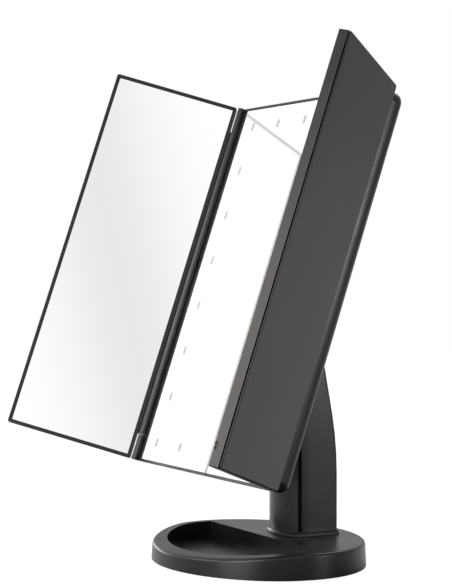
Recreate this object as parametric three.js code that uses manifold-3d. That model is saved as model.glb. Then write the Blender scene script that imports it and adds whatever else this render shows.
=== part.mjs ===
// Lighted makeup mirror: a centre mirror with two folding wings, tilting on a column over a tray base.
// Millimetres, +Z up, the front towards -Y. The origin is the middle of the face that it stands on.
import * as THREE from 'three';
import { mergeVertices } from 'three/addons/utils/BufferGeometryUtils.js';
import Module from 'manifold-3d';

const wasm = await Module();
wasm.setup();

// Clearances
const fitGap = 0.3; // between pieces that touch or seat
const wall = 2; // moulded walls
const joinDepth = 0.5; // joined shapes reach into each other
const cutPast = 1; // cutting shapes reach past the face that they open

// Facets of round shapes
const ovalSteps = 64;
const hiddenOvalSteps = 40;
const roundSteps = 20;
const smallSteps = 10;
const filletSteps = 4;

// Pose at rest, degrees
const headTilt = 19; // the mirrors lean back from upright
const leftFold = 60; // left wing folded forward from flat open
const rightFold = 53; // right wing folded forward from flat open

// Head: the three panels
const panelHeight = 251;
const hingeSpacing = 180.2; // between the axes of the two wing hinges
const hingeLift = 0.4; // hinge axes in front of the frames' front faces
const barrelRadius = 2.75;
const knuckleLength = 17.2; // of each knuckle on the centre frame
const hingeWeb = 1.85; // thickness of the web from a barrel to its frame
const pinRadius = 1.5;
const pinReach = 14; // of the pin inside the wing's barrel
const pinEndInset = 0.6;
const wingMeetGap = 0.8; // between the two closed wings
const wingEdgeOffset = 3.6; // from a hinge axis to the wing's frame
const frameEdgeOffset = 3.1; // from a hinge axis to the centre frame
const frameCorner = 1.2; // corner radius of the frames
const glassCorner = 0.5;
const glassThickness = 2;
const glassRecess = 0.5; // glass below the bezel

// Wings
const wingFrameDepth = 5.6;
const shadowGroove = 0.8; // between the frame and the back cover
const coverPlate = 0.95; // thickness of the back cover's face
const coverInset = 0.35;
const coverChamfer = 0.45;
const wingBezel = 2.5; // frame's edge to the glass
const hingeBezel = 1.4; // the same beside the hinge
const bezelRim = 1; // width of the bezel's raised rim
const bezelStep = 0.3; // inner part of the bezel below its rim
const ledge = 5; // width of the ledge under the glass
const ledgeThickness = 0.8;
const coverRib = 1.2; // thickness of the back cover's locating rib
const magnifierSplit = 20; // height of the bar between the two right mirrors, from the middle
const splitBar = 3; // width of that bar
const notchHeight = 11.6; // thumb notch above the wing's lower edge
const notchLength = 4.4;
const notchWidth = 2;
const notchDepth = 0.7;
const notchBack = 0.9; // behind the wing's front face

// Centre frame and its lighting
const frameDepth = 3.8;
const centreBezel = 1.8;
const lightColumnInset = 18.9; // light columns from the frame's side edges
const lightRowInset = 14.2; // light rows from the frame's top and bottom edges
const lightsDown = 8; // lights in each column
const lightsAcross = 5; // light places in the top row
const windowWidth = 3.6;
const windowHeight = 5.8;
const windowCorner = 0.8;
const windowDepth = 0.25; // etched into the glass
const diffuserBand = 11; // width of the diffuser's channel
const diffuserPlate = 1;
const diffuserWall = 1.2;
const diffuserDepth = 3.1;
const diffuserCorner = 0.7;
const stripInset = 0.5; // light strip's edge inside the diffuser's edge
const stripThickness = 0.8;
const lampSize = 3;
const lampHeight = 1.2;
const touchRadius = 7;
const touchUp = 16; // pad's middle above the frame's lower edge
const touchThickness = 1.2;
const touchStem = 1.4; // radius of the stem to the board
const touchClear = 4; // from the pad to the diffuser's ends

// Rear housing
const housingDepth = 14.5; // from the panel's front plane to the housing's back face
const housingOverhang = 0.5; // housing past the hinge axis
const housingShort = 0.5; // housing shorter than the frame at each end
const housingCorner = 7;
const housingFillet = 5;
const postInset = 30; // screw posts from the frame's top and bottom edges
const postRadius = 2.8;
const postLength = 3.2;
const bossRadius = 4;
const screwRadius = 1.2;
const screwHeadRadius = 2.7;
const screwHead = 1.8;
const screwSink = 3; // depth of the screw's counterbore

// Control board, switch and socket
const boardUp = 19; // board above the frame's lower edge
const boardTall = 34;
const boardThickness = 1.2;
const boardSideGap = 12.7; // from the board to the screw bosses
const standoffRadius = 2;
const standoffInset = 6;
const standoffMiddle = 24; // upper standoffs from the middle
const boardChips = [
  { x: -30, up: 20, wide: 9, tall: 9, high: 1.4 },
  { x: 12, up: 22, wide: 7, tall: 5, high: 1.2 },
  { x: 36, up: 18, wide: 6, tall: 6, high: 2.4 },
  { x: -8, up: 16, wide: 4, tall: 3, high: 1 },
];
const controlInset = 9; // switch and socket from the board's ends
const controlUp = 26; // switch and socket above the board's lower edge
const switchTravel = 3;
const knobWide = 3.2;
const knobTall = 4;
const knobProud = 1.2;
const switchWide = 7;
const switchTall = 12;
const socketWide = 7.8;
const socketTall = 3;
const socketWall = 0.5;
const socketFloor = 0.8;
const socketInset = 0.4; // socket's rim below the housing's back face
const tongueWide = 4.8;
const tongueTall = 0.7;

// Battery hump
const humpDepth = 23;
const humpRim = 4; // hump around the battery door's seat
const humpBelow = 18; // hump below the pivot
const humpFillet = 3;
const humpCorner = 4;
const slotRoof = 2.8; // wall between the neck's slot and the cells
const neckClear = 2.4; // slot above the neck's knuckle
const cellRadius = 5.25;
const cellLength = 44.5;
const cellPitch = 11;
const cellCount = 4;
const cellNub = 1;
const nubRadius = 1.9;
const contactReach = 2.5; // from a cell's end to the contact plate's back
const contactPlate = 0.6;
const contactWidth = 8;
const contactRadius = 2.2;
const pocketSide = 0.55; // cells to the pocket's side walls
const pocketCorner = 0.8;
const boxWall = 1.5;
const doorThickness = 1.6;
const doorMargin = 1.7; // door's seat around the pocket
const doorCorner = 2;
const gripLength = 14; // finger ridges of the door
const gripWidth = 1;
const gripPitch = 2;
const gripCount = 3;
const gripProud = 0.5;
const gripInset = 7;

// Tilt pivot
const pivotY = 19.2;
const pivotZ = 152.3;
const pivotDepth = 28; // behind the panel's front plane
const pivotDrop = 16; // below the panel's middle
const knuckleRadius = 11.6;
const shaftRadius = 3;
const earRadius = 9;
const earThickness = 8.5;
const washerThickness = 0.8;
const capRadius = 6;
const capSunk = 1.2;
const capProud = 0.4;
const capChamfer = 1;
const nutThickness = 2.5;
const nutRadius = 4.6;

// Column
const columnWidth = 36;
const columnFront = 14.2; // front cover's middle
const columnSide = 19; // front cover's side edges
const columnGroove = 3.3; // shadow groove between the two covers
const columnRear = 49.2;
const columnCrease = 6.5; // soft crease of the side faces behind the groove
const columnTaper = 0.7; // side faces drawn in at the groove
const columnCorner = 2.5;
const neckHeight = 20.5; // from the covers' tops to the pivot
const neckInset = 2; // neck in front of the front cover's side edges
const bendStart = 55;
const bendEnd = 95;
const frontLean = 0.085; // forward lean above the bend, as a slope
const rearLean = 0.19;
const columnWall = 2.2;
const columnSteps = 9;
const collarHeight = 2.4;
const collarBand = 1; // straight lower part of the collar
const collarFlare = 1.5;
const collarLip = 0.5;
const coreWall = 4; // sides of the core's hollows
const coreWeb = 7; // core in front of its hollows
const hollowEnd = 14; // solid core at its two ends
const hollowGap = 6; // solid core between the two hollows
const tenonHalf = 12;
const tenonFront = 26;
const tenonRear = 42;

// Base
const baseRimX = 78.4; // half axes of the top edge
const baseRimY = 63.6;
const baseFlare = 0.6; // lower edge wider than the top
const baseHeight = 16.2;
const baseFillet = 2;
const rimDip = 5.6; // the rim's front end below its rear
const rimDipStart = 14; // the dip starts this far in front of the middle
const rimDipPower = 1.3; // curve of the dip
const rimDipSteps = 6; // rings that carry the dip across the top
const trayEnd = 7.1; // rim width at the tray's ends
const trayFront = 10.3; // rim width at the front
const trayRear = 4; // straight rear wall of the tray
const trayDepth = 11.2;
const trayFloor = 1.3;
const padThickness = 0.6;
const padInset = 4;
const plateThickness = 2;
const ballastX = 56;
const ballastY = 50;
const ballastGap = 2; // from the tray's rear wall
const ballastThickness = 6.6;
const footScrewSpacing = 16;
const footScrewY = 34;
const footScrewRadius = 1.8;
const footScrewHeadRadius = 3.3;
const footScrewHead = 2.7;
const footScrewReach = 13.9; // above the ballast
const baseScrewAngles = [-55, -125, 35, 145];
const baseBossRadius = 3.2;
const baseScrewHead = 1.1;
const baseScrewReach = 6.5; // above the bottom plate

// Derived places
const radians = Math.PI / 180;
const halfHeight = panelHeight / 2;
const hingeX = hingeSpacing / 2;
const frameHalf = hingeX - frameEdgeOffset;
const frameRect = [-frameHalf, frameHalf, -halfHeight, halfHeight];
const barrelHalf = halfHeight - knuckleLength - fitGap;
const lightColumn = frameHalf - lightColumnInset;
const lightRow = halfHeight - lightRowInset;
const windowPitch = (2 * lightRow) / (lightsDown - 1);
const acrossPitch = (2 * lightColumn) / (lightsAcross - 1);
const touchGap = 2 * (touchRadius + touchClear);
const glassBack = glassRecess + glassThickness;
const diffuserFace = glassBack + fitGap;
const diffuserBack = diffuserFace + diffuserDepth;
const stripFace = diffuserBack + fitGap;
const stripBack = stripFace + stripThickness;
const stripHalf = diffuserBand / 2 - stripInset;

const wingReach = (hingeSpacing - wingMeetGap) / 2;
const wingFront = -hingeLift;
const wingRect = [wingEdgeOffset, wingReach, -halfHeight, halfHeight];
const wingPocketBack = wingFront - glassBack - fitGap;
const wingCavity = wingPocketBack - ledgeThickness;
const wingFrameBack = wingFront - wingFrameDepth;

const housingFront = frameDepth + fitGap;
const housingHalf = hingeX + housingOverhang;
const housingTall = halfHeight - housingShort;
const innerBack = housingDepth - wall;
const postX = (lightColumn + diffuserBand / 2 + frameHalf) / 2;
const postY = halfHeight - postInset;
const postBack = frameDepth + postLength;
const boardFace = stripBack + fitGap;
const boardBack = boardFace + boardThickness;
const boardHalf = postX - bossRadius - boardSideGap;
const boardLow = boardUp - halfHeight;
const controlX = boardHalf - controlInset;
const controlY = boardLow + controlUp;

const slotTop = knuckleRadius + neckClear - pivotDrop;
const pocketHalf = ((cellCount - 1) * cellPitch) / 2 + cellRadius + pocketSide;
const pocketBottom = slotTop + slotRoof;
const cellBottom = pocketBottom + fitGap + contactReach;
const pocketTop = cellBottom + cellLength + contactReach + fitGap;
const doorFace = humpDepth - doorThickness;
const cellDepth = doorFace - fitGap - cellRadius;
const pocketFloor = cellDepth - cellRadius - fitGap;
const pocketRect = [-pocketHalf, pocketHalf, pocketBottom, pocketTop];
const humpHalf = pocketHalf + doorMargin + humpRim;
const humpTop = pocketTop + doorMargin + humpRim;
const humpBottom = -pivotDrop - humpBelow;

const pivotSpot = [0, -pivotDrop, -pivotDepth];
const slotHalf = columnWidth / 2 + washerThickness + 2 * fitGap;
const earOuter = slotHalf + earThickness;
const nutOuter = earOuter - capSunk - fitGap;
const nutInner = nutOuter - nutThickness;

const columnHalf = columnWidth / 2;
const columnFoot = baseHeight + fitGap;
const coverTop = pivotZ - neckHeight;
const coreHalf = columnHalf - columnWall - fitGap;
const frontRise = columnSide - columnFront;
const frontRadius = (columnHalf ** 2 + frontRise ** 2) / (2 * frontRise);

const plateBottom = padThickness + fitGap;
const plateTop = plateBottom + plateThickness;
const ballastBottom = plateTop + fitGap;
const ballastTop = ballastBottom + ballastThickness;
const trayFloorTop = baseHeight - trayDepth;
const baseScrewInset = wall + screwHeadRadius + 2 * fitGap;
const trayX = baseRimX - trayEnd;
const trayY = baseRimY - trayFront;

// Materials
const finish = (color, roughness, metalness = 0) => ({ color, roughness, metalness });
const satinCharcoal = finish(0x3f3d3c, 0.42);
const innerBlack = finish(0x171717, 0.6);
const mirrorSilver = finish(0xf2f4f5, 0.04, 1);
const frostedWhite = finish(0xe6e6e2, 0.5);
const boardGreen = finish(0x2d5b3c, 0.6);
const steel = finish(0x9a9ca0, 0.35, 1);
const rubberBlack = finish(0x1c1c1c, 0.9);
const cellSilver = finish(0x8f9397, 0.4, 0.6);
const contactNickel = finish(0xb4b2ac, 0.3, 1);

// Solid helpers
function solidOf(geometry) {
  const bare = geometry.clone();
  bare.deleteAttribute('normal');
  bare.deleteAttribute('uv');
  const merged = mergeVertices(bare, 1e-4);
  const points = merged.attributes.position.array;
  const triangles = [];
  for (let i = 0; i < merged.index.count; i += 3) {
    const [a, b, c] = [0, 1, 2].map((k) => merged.index.getX(i + k));
    if (a !== b && b !== c && a !== c) triangles.push(a, b, c);
  }
  if (signedVolume(points, triangles) < 0) triangles.reverse();
  const mesh = { numProp: 3, vertProperties: new Float32Array(points), triVerts: new Uint32Array(triangles) };
  return new wasm.Manifold(new wasm.Mesh(mesh));
}

function signedVolume(points, triangles) {
  const corner = (i) => new THREE.Vector3().fromArray(points, 3 * triangles[i]);
  let volume = 0;
  for (let i = 0; i < triangles.length; i += 3) {
    volume += corner(i).dot(corner(i + 1).cross(corner(i + 2))) / 6;
  }
  return volume;
}

const join = (first, ...others) => others.reduce((sum, solid) => sum.add(solid), first);
const cut = (first, ...tools) => tools.reduce((rest, tool) => rest.subtract(tool), first);

// A block between two places on each axis, given in either order
function block([x0, x1], [y0, y1], [z0, z1]) {
  const box = new THREE.BoxGeometry(Math.abs(x1 - x0), Math.abs(y1 - y0), Math.abs(z1 - z0));
  box.translate((x0 + x1) / 2, (y0 + y1) / 2, (z0 + z1) / 2);
  return solidOf(box);
}

const about = (middle, size) => [middle - size / 2, middle + size / 2];

// A rod along x, y or z between two places on that axis
function rod(axis, radius, from, to, centre = [0, 0, 0], steps = roundSteps) {
  const cylinder = new THREE.CylinderGeometry(radius, radius, Math.abs(to - from), steps);
  if (axis === 'x') cylinder.rotateZ(Math.PI / 2);
  if (axis === 'z') cylinder.rotateX(Math.PI / 2);
  const place = [...centre];
  place['xyz'.indexOf(axis)] = (from + to) / 2;
  cylinder.translate(...place);
  return solidOf(cylinder);
}

const peg = (radius, from, to, [x, y]) => rod('z', radius, from, to, [x, y, 0], smallSteps);

// A solid through rings of equal point count, closed by a fan at each end
function stack(rings) {
  const count = rings[0].length;
  const points = rings.flat(2);
  const triangles = [];
  for (let k = 0; k + 1 < rings.length; k += 1) {
    for (let i = 0; i < count; i += 1) {
      const [a, b] = [k * count + i, k * count + ((i + 1) % count)];
      triangles.push(a, b, b + count, a, b + count, a + count);
    }
  }
  for (const [ring, flip] of [[0, true], [rings.length - 1, false]]) {
    const hub = points.length / 3;
    const middle = [0, 1, 2].map((axis) => rings[ring].reduce((sum, point) => sum + point[axis], 0) / count);
    points.push(...middle);
    for (let i = 0; i < count; i += 1) {
      const [a, b] = [ring * count + i, ring * count + ((i + 1) % count)];
      triangles.push(...(flip ? [hub, b, a] : [hub, a, b]));
    }
  }
  const geometry = new THREE.BufferGeometry();
  geometry.setAttribute('position', new THREE.Float32BufferAttribute(points, 3));
  geometry.setIndex(triangles);
  return solidOf(geometry);
}

function rectRing([xLow, xHigh, yLow, yHigh], radius, z, steps) {
  const ring = [];
  const corners = [[xHigh, yHigh, 0], [xLow, yHigh, 1], [xLow, yLow, 2], [xHigh, yLow, 3]];
  for (const [x, y, turn] of corners) {
    const centreX = x + (x === xHigh ? -radius : radius);
    const centreY = y + (y === yHigh ? -radius : radius);
    for (let i = 0; i <= steps; i += 1) {
      const angle = (turn + i / steps) * (Math.PI / 2);
      ring.push([centreX + radius * Math.cos(angle), centreY + radius * Math.sin(angle), z]);
    }
  }
  return ring;
}

const grow = ([xLow, xHigh, yLow, yHigh], by) => [xLow - by, xHigh + by, yLow - by, yHigh + by];

function roundedPlate(rect, radius, zLow, zHigh, steps = 2) {
  return stack([rectRing(rect, radius, zLow, steps), rectRing(rect, radius, zHigh, steps)]);
}

// A rounded dish whose back edge has a fillet
function dish(rect, corner, fillet, back, front, steps) {
  const rings = [];
  for (let i = 0; i <= steps; i += 1) {
    const angle = (i / steps) * (Math.PI / 2);
    const inset = fillet * (1 - Math.sin(angle));
    const z = back + fillet * (1 - Math.cos(angle));
    rings.push(rectRing(grow(rect, -inset), corner - inset, z, steps));
  }
  rings.push(rectRing(rect, corner, front, steps));
  return stack(rings);
}

function ellipseRing(halfX, halfY, z, steps) {
  return Array.from({ length: steps }, (_, i) => {
    const angle = (2 * Math.PI * i) / steps;
    return [halfX * Math.cos(angle), halfY * Math.sin(angle), z];
  });
}

function ellipsePlate(halfX, halfY, zLow, zHigh, steps) {
  return stack([ellipseRing(halfX, halfY, zLow, steps), ellipseRing(halfX, halfY, zHigh, steps)]);
}

// A piece extruded along x from an outline in y and z
function sideExtrusion(outline, xLow, xHigh) {
  return stack([xLow, xHigh].map((x) => outline.map(([y, z]) => [x, y, z])));
}

function mesh(name, solid, look) {
  const { vertProperties, triVerts, numProp } = solid.getMesh();
  const points = new Float32Array((vertProperties.length / numProp) * 3);
  for (let i = 0; i < points.length / 3; i += 1) {
    for (let k = 0; k < 3; k += 1) points[3 * i + k] = vertProperties[numProp * i + k];
  }
  const geometry = new THREE.BufferGeometry();
  geometry.setAttribute('position', new THREE.BufferAttribute(points, 3));
  geometry.setIndex(Array.from(triVerts));
  geometry.computeVertexNormals();
  const piece = new THREE.Mesh(geometry, new THREE.MeshStandardMaterial(look));
  piece.name = name;
  return piece;
}

// How far the base's top lies below its height at a place in front of the middle
function dip(y) {
  const forward = Math.max(-y - rimDipStart, 0) / (baseRimY - rimDipStart);
  return rimDip * forward ** rimDipPower;
}

const dipped = (ring) => ring.map(([x, y, z]) => [x, y, z - dip(y)]);

// Rings that lead from an oval's edge across its dipped top to where the top is level
function dippedTop(halfX, halfY, z, steps) {
  return Array.from({ length: rimDipSteps }, (_, i) => {
    const share = 1 - (1 - rimDipStart / halfY) * (i / (rimDipSteps - 1));
    return dipped(ellipseRing(halfX * share, halfY * share, z, steps));
  });
}

// Base shell: an oval with a rounded top edge that dips in front, a half-oval tray and a hollow underside
function baseShell() {
  const rings = [ellipseRing(baseRimX + baseFlare, baseRimY + baseFlare, plateBottom, ovalSteps)];
  for (let i = 0; i < filletSteps; i += 1) {
    const angle = (i / filletSteps) * (Math.PI / 2);
    const inset = baseFillet * (1 - Math.cos(angle));
    const z = baseHeight - baseFillet * (1 - Math.sin(angle));
    rings.push(dipped(ellipseRing(baseRimX - inset, baseRimY - inset, z, ovalSteps)));
  }
  rings.push(...dippedTop(baseRimX - baseFillet, baseRimY - baseFillet, baseHeight, ovalSteps));
  const above = baseHeight + cutPast;
  const tray = cut(
    ellipsePlate(trayX, trayY, trayFloorTop, above, ovalSteps),
    block([-baseRimX, baseRimX], [trayRear, baseRimY], [0, above + cutPast]),
  );
  const trayShell = cut(
    ellipsePlate(trayX + wall, trayY + wall, trayFloorTop - trayFloor, baseHeight, hiddenOvalSteps),
    block([-baseRimX, baseRimX], [trayRear + wall, baseRimY], [0, above]),
  );
  const inside = [baseRimX - wall, baseRimY - wall];
  const hollow = cut(stack([
    ellipseRing(...inside, 0, hiddenOvalSteps),
    ...dippedTop(...inside, baseHeight - wall, hiddenOvalSteps),
  ]), trayShell);
  const plateSeat = ellipsePlate(...inside, 0, plateTop + fitGap, ovalSteps);
  const bosses = screwSpots().map(([x, y]) => (
    peg(baseBossRadius, plateTop + fitGap, baseHeight - dip(y - baseBossRadius) - wall / 2, [x, y])
  ));
  const bores = screwSpots().map((spot) => (
    peg(screwRadius + fitGap, 0, plateTop + baseScrewReach + 2 * fitGap, spot)
  ));
  const footHole = block(
    [-tenonHalf - fitGap, tenonHalf + fitGap],
    [tenonFront - fitGap, tenonRear + fitGap],
    [baseHeight - wall - cutPast, above],
  );
  return cut(join(cut(stack(rings), hollow, plateSeat, tray), ...bosses), ...bores, footHole);
}

// Screws follow the rim, their heads just clear of its wall
function screwSpots() {
  const [halfX, halfY] = [baseRimX - baseScrewInset, baseRimY - baseScrewInset];
  return baseScrewAngles.map((angle) => [halfX * Math.cos(angle * radians), halfY * Math.sin(angle * radians)]);
}

function bottomPlate() {
  const inset = wall + fitGap;
  const plate = ellipsePlate(baseRimX - inset, baseRimY - inset, plateBottom, plateTop, hiddenOvalSteps);
  const holes = screwSpots().flatMap((spot) => [
    peg(screwHeadRadius, 0, plateBottom + baseScrewHead + fitGap, spot),
    peg(screwRadius + fitGap, 0, plateTop + cutPast, spot),
  ]);
  return cut(plate, ...holes);
}

function antiSlipPad() {
  return ellipsePlate(baseRimX - padInset, baseRimY - padInset, 0, padThickness, ovalSteps);
}

// A screw upwards: its head's lower face, its length and its tip
function screwUp(spot, radius, headRadius, low, head, tip) {
  return join(peg(headRadius, low, low + head, spot), peg(radius, low + head / 2, tip, spot));
}

function baseScrew(spot) {
  const tip = plateTop + baseScrewReach;
  return screwUp(spot, screwRadius, screwHeadRadius - fitGap, plateBottom, baseScrewHead, tip);
}

// Steel ballast under the rear of the base, clamped below the column's tenon
function ballast() {
  const front = trayRear + wall + ballastGap;
  const plate = cut(
    ellipsePlate(ballastX, ballastY, ballastBottom, ballastTop, hiddenOvalSteps),
    block([-ballastX - cutPast, ballastX + cutPast], [-ballastY - cutPast, front], [0, baseHeight]),
  );
  const holes = footScrewSpots().flatMap((spot) => [
    peg(footScrewHeadRadius + fitGap, 0, ballastBottom + footScrewHead + fitGap, spot),
    peg(footScrewRadius + fitGap, 0, ballastTop + cutPast, spot),
  ]);
  return cut(plate, ...holes);
}

const footScrewSpots = () => about(0, footScrewSpacing).map((x) => [x, footScrewY]);

function footScrew(spot) {
  const tip = ballastTop + footScrewReach;
  return screwUp(spot, footScrewRadius, footScrewHeadRadius, ballastBottom, footScrewHead, tip);
}

// Column: how far a face with this lean has moved forward at height z
function lean(z, slope) {
  const bend = bendEnd - bendStart;
  const above = Math.min(Math.max(z - bendStart, 0), bend);
  return slope * (above ** 2 / (2 * bend) + Math.max(z - bendEnd, 0));
}

function levels(low, high, count = columnSteps) {
  return Array.from({ length: count + 1 }, (_, i) => low + ((high - low) * i) / count);
}

// Front arc of the column's plan, from its left to its right end, moved out by an offset
function frontArc(half, offset, z) {
  const steps = smallSteps;
  const centreY = columnFront + frontRadius - lean(z, frontLean);
  return Array.from({ length: steps + 1 }, (_, i) => {
    const x = half * ((2 * i) / steps - 1);
    return [x, centreY - Math.sqrt((frontRadius + offset) ** 2 - x ** 2), z];
  });
}

function rearArcs(half, rear, corner, z) {
  const arcs = [];
  for (const [side, start] of [[1, 0], [-1, 1]]) {
    for (let i = 0; i <= filletSteps; i += 1) {
      const angle = (start + i / filletSteps) * (Math.PI / 2);
      const centreX = side * (half - corner);
      arcs.push([centreX + corner * Math.cos(angle), rear - corner + corner * Math.sin(angle), z]);
    }
  }
  return arcs;
}

function columnPlan(offset, z) {
  const rear = columnRear - lean(z, rearLean) + offset;
  return [
    ...frontArc(columnHalf + offset, offset, z),
    ...rearArcs(columnHalf + offset, rear, columnCorner + offset, z),
  ];
}

function frontCover() {
  const outer = levels(columnFoot, coverTop).map((z) => frontArc(columnHalf, 0, z));
  const inner = levels(columnFoot - cutPast, coverTop + cutPast).map((z) => (
    frontArc(columnHalf - columnWall, -columnWall, z)
  ));
  return cut(stack(outer), stack(inner));
}

function rearCover() {
  const outer = levels(columnFoot, coverTop).map((z) => {
    const front = columnSide + columnGroove - lean(z, frontLean);
    return [
      [-columnHalf + columnTaper, front, z],
      [columnHalf - columnTaper, front, z],
      [columnHalf, front + columnCrease, z],
      ...rearArcs(columnHalf, columnRear - lean(z, rearLean), columnCorner, z),
      [-columnHalf, front + columnCrease, z],
    ];
  });
  const inner = levels(columnFoot - cutPast, coverTop + cutPast).map((z) => {
    const side = columnHalf - columnWall;
    const rear = columnRear - columnWall - lean(z, rearLean);
    return [[-side, 0, z], [side, 0, z], [side, rear, z], [-side, rear, z]];
  });
  return cut(stack(outer), stack(inner));
}

function collar() {
  const low = columnFoot;
  const high = low + collarHeight;
  const outer = stack([
    columnPlan(collarFlare, low),
    columnPlan(collarFlare, low + collarBand),
    columnPlan(collarLip, high),
  ]);
  return cut(outer, stack([columnPlan(fitGap, low - cutPast), columnPlan(fitGap, high + cutPast)]));
}

// Column core: the load-bearing strut inside the covers, with the tilt knuckle on top
function columnCore() {
  const front = (z) => columnSide + fitGap - lean(z, frontLean);
  const rear = (z) => columnRear - columnWall - fitGap - lean(z, rearLean);
  const section = (half, near, far, z) => [[-half, near, z], [half, near, z], [half, far, z], [-half, far, z]];
  const heights = levels(columnFoot, coverTop + fitGap);
  const strut = stack(heights.map((z) => section(coreHalf, front(z), rear(z), z)));
  const [low, high] = [columnFoot + hollowEnd, coverTop - hollowEnd];
  const middle = (low + high) / 2;
  const hollows = [[low, middle - hollowGap / 2], [middle + hollowGap / 2, high]].map(([from, to]) => (
    stack(levels(from, to).map((z) => section(coreHalf - coreWall, front(z) + coreWeb, columnRear, z)))
  ));
  const bore = rod('x', shaftRadius + fitGap, -columnWidth, columnWidth, [0, pivotY, pivotZ]);
  const tenon = block(
    [-tenonHalf, tenonHalf],
    [tenonFront, tenonRear],
    [ballastTop + fitGap, columnFoot + joinDepth],
  );
  const screwBores = footScrewSpots().map((spot) => (
    peg(footScrewRadius + fitGap, 0, ballastTop + footScrewReach + fitGap, spot)
  ));
  return cut(join(strut, neck(), tenon), ...hollows, bore, ...screwBores);
}

// The neck above the covers, round about the pivot
function neck() {
  const low = coverTop + fitGap;
  const steps = roundSteps / 2;
  const outline = [[columnRear - lean(low, rearLean), low]];
  for (let i = 0; i <= steps; i += 1) {
    const angle = (Math.PI * i) / steps;
    outline.push([pivotY + knuckleRadius * Math.cos(angle), pivotZ + knuckleRadius * Math.sin(angle)]);
  }
  outline.push([columnSide - lean(low, frontLean) - neckInset, low]);
  return sideExtrusion(outline, -columnHalf, columnHalf);
}

function frictionWasher(side) {
  const inner = side * (columnHalf + fitGap);
  const outer = side * (columnHalf + fitGap + washerThickness);
  const centre = [0, pivotY, pivotZ];
  return cut(
    rod('x', earRadius, inner, outer, centre),
    rod('x', shaftRadius + fitGap, inner - side * cutPast, outer + side * cutPast, centre),
  );
}

// Head pieces. In the head's own frame x is to the right, y up along the panel, z out of its front.
function frontFrame() {
  const knuckles = [[halfHeight - knuckleLength, halfHeight], [-halfHeight, knuckleLength - halfHeight]];
  const barrels = [-hingeX, hingeX].flatMap((x) => knuckles.flatMap((ends) => {
    const web = [Math.sign(x) * (frameHalf - joinDepth), x];
    const webDepths = [hingeLift - barrelRadius + fitGap, hingeLift - barrelRadius + hingeWeb];
    return [rod('y', barrelRadius, ...ends, [x, 0, hingeLift]), block(web, ends, webDepths)];
  }));
  const posts = postSpots().map((spot) => peg(postRadius, -postBack, -frameDepth + joinDepth, spot));
  const screwBores = postSpots().map((spot) => (
    peg(screwRadius + fitGap, -postBack - cutPast, -diffuserFace - fitGap, spot)
  ));
  const pinBores = [-hingeX, hingeX].map((x) => (
    rod('y', pinRadius + fitGap, -halfHeight - cutPast, halfHeight + cutPast, [x, 0, hingeLift])
  ));
  const tray = cut(
    roundedPlate(frameRect, frameCorner, -frameDepth, 0),
    roundedPlate(grow(frameRect, fitGap - centreBezel), glassCorner, -diffuserFace, cutPast),
    roundedPlate(diffuserRect(fitGap), diffuserCorner, -frameDepth - cutPast, cutPast),
  );
  return cut(join(tray, ...posts, ...barrels), ...screwBores, ...pinBores);
}

const postSpots = () => [[postX, postY], [-postX, postY], [-postX, -postY], [postX, -postY]];

function diffuserRect(by) {
  const halfX = lightColumn + diffuserBand / 2;
  const halfY = lightRow + diffuserBand / 2;
  return grow([-halfX, halfX, -halfY, halfY], by);
}

// Places of the lights: two columns, the rest of the top row, and the bottom row but its middle
function lightSpots() {
  const down = Array.from({ length: lightsDown }, (_, i) => lightRow - i * windowPitch);
  const across = Array.from({ length: lightsAcross - 2 }, (_, i) => (i + 1) * acrossPitch - lightColumn);
  return {
    left: down.map((y) => [-lightColumn, y]),
    right: down.map((y) => [lightColumn, y]),
    top: across.map((x) => [x, lightRow]),
    bottom: across.filter((x) => Math.abs(x) > touchGap / 2).map((x) => [x, -lightRow]),
  };
}

function centreMirror() {
  const windows = Object.values(lightSpots()).flat().map(([x, y]) => roundedPlate(
    [...about(x, windowWidth), ...about(y, windowHeight)],
    windowCorner,
    -glassRecess - windowDepth,
    cutPast,
    1,
  ));
  return cut(roundedPlate(grow(frameRect, -centreBezel), glassCorner, -glassBack, -glassRecess), ...windows);
}

// Light diffuser: a channel behind the light windows, open at the touch pad
function lightDiffuser() {
  const outer = diffuserRect(0);
  const inner = diffuserRect(-diffuserBand);
  const face = -diffuserFace;
  const back = -diffuserBack;
  const band = cut(
    roundedPlate(outer, diffuserCorner, back, face),
    roundedPlate(inner, diffuserCorner, back - cutPast, face + cutPast),
  );
  const channel = cut(
    roundedPlate(grow(outer, -diffuserWall), diffuserCorner, back - cutPast, face - diffuserPlate),
    roundedPlate(grow(inner, diffuserWall), diffuserCorner, back - 2 * cutPast, face),
  );
  const opening = block(about(0, touchGap), [-halfHeight, 0], [back - cutPast, face + cutPast]);
  return cut(band, channel, opening);
}

function ledStrip(spots, xs, ys) {
  const lamps = spots.map(([x, y]) => (
    block(about(x, lampSize), about(y, lampSize), [-stripFace - stripThickness / 2, -stripFace + lampHeight])
  ));
  return join(block(xs, ys, [-stripBack, -stripFace]), ...lamps);
}

function ledStrips() {
  const spots = lightSpots();
  const column = [-lightRow - stripHalf, lightRow + stripHalf];
  const short = lightColumn - stripHalf - fitGap;
  return {
    led_strip_left: ledStrip(spots.left, about(-lightColumn, 2 * stripHalf), column),
    led_strip_right: ledStrip(spots.right, about(lightColumn, 2 * stripHalf), column),
    led_strip_top: ledStrip(spots.top, [-short, short], about(lightRow, 2 * stripHalf)),
    led_strip_bottom: ledStrip(spots.bottom, [-short, short], about(-lightRow, 2 * stripHalf)),
  };
}

function touchPad() {
  const stemY = -lightRow + stripHalf + fitGap + touchStem;
  const back = -diffuserFace - touchThickness;
  const disc = rod('z', touchRadius, back, -diffuserFace, [0, touchUp - halfHeight, 0]);
  return join(disc, peg(touchStem, -boardFace + fitGap, back + joinDepth, [0, stemY]));
}

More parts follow.
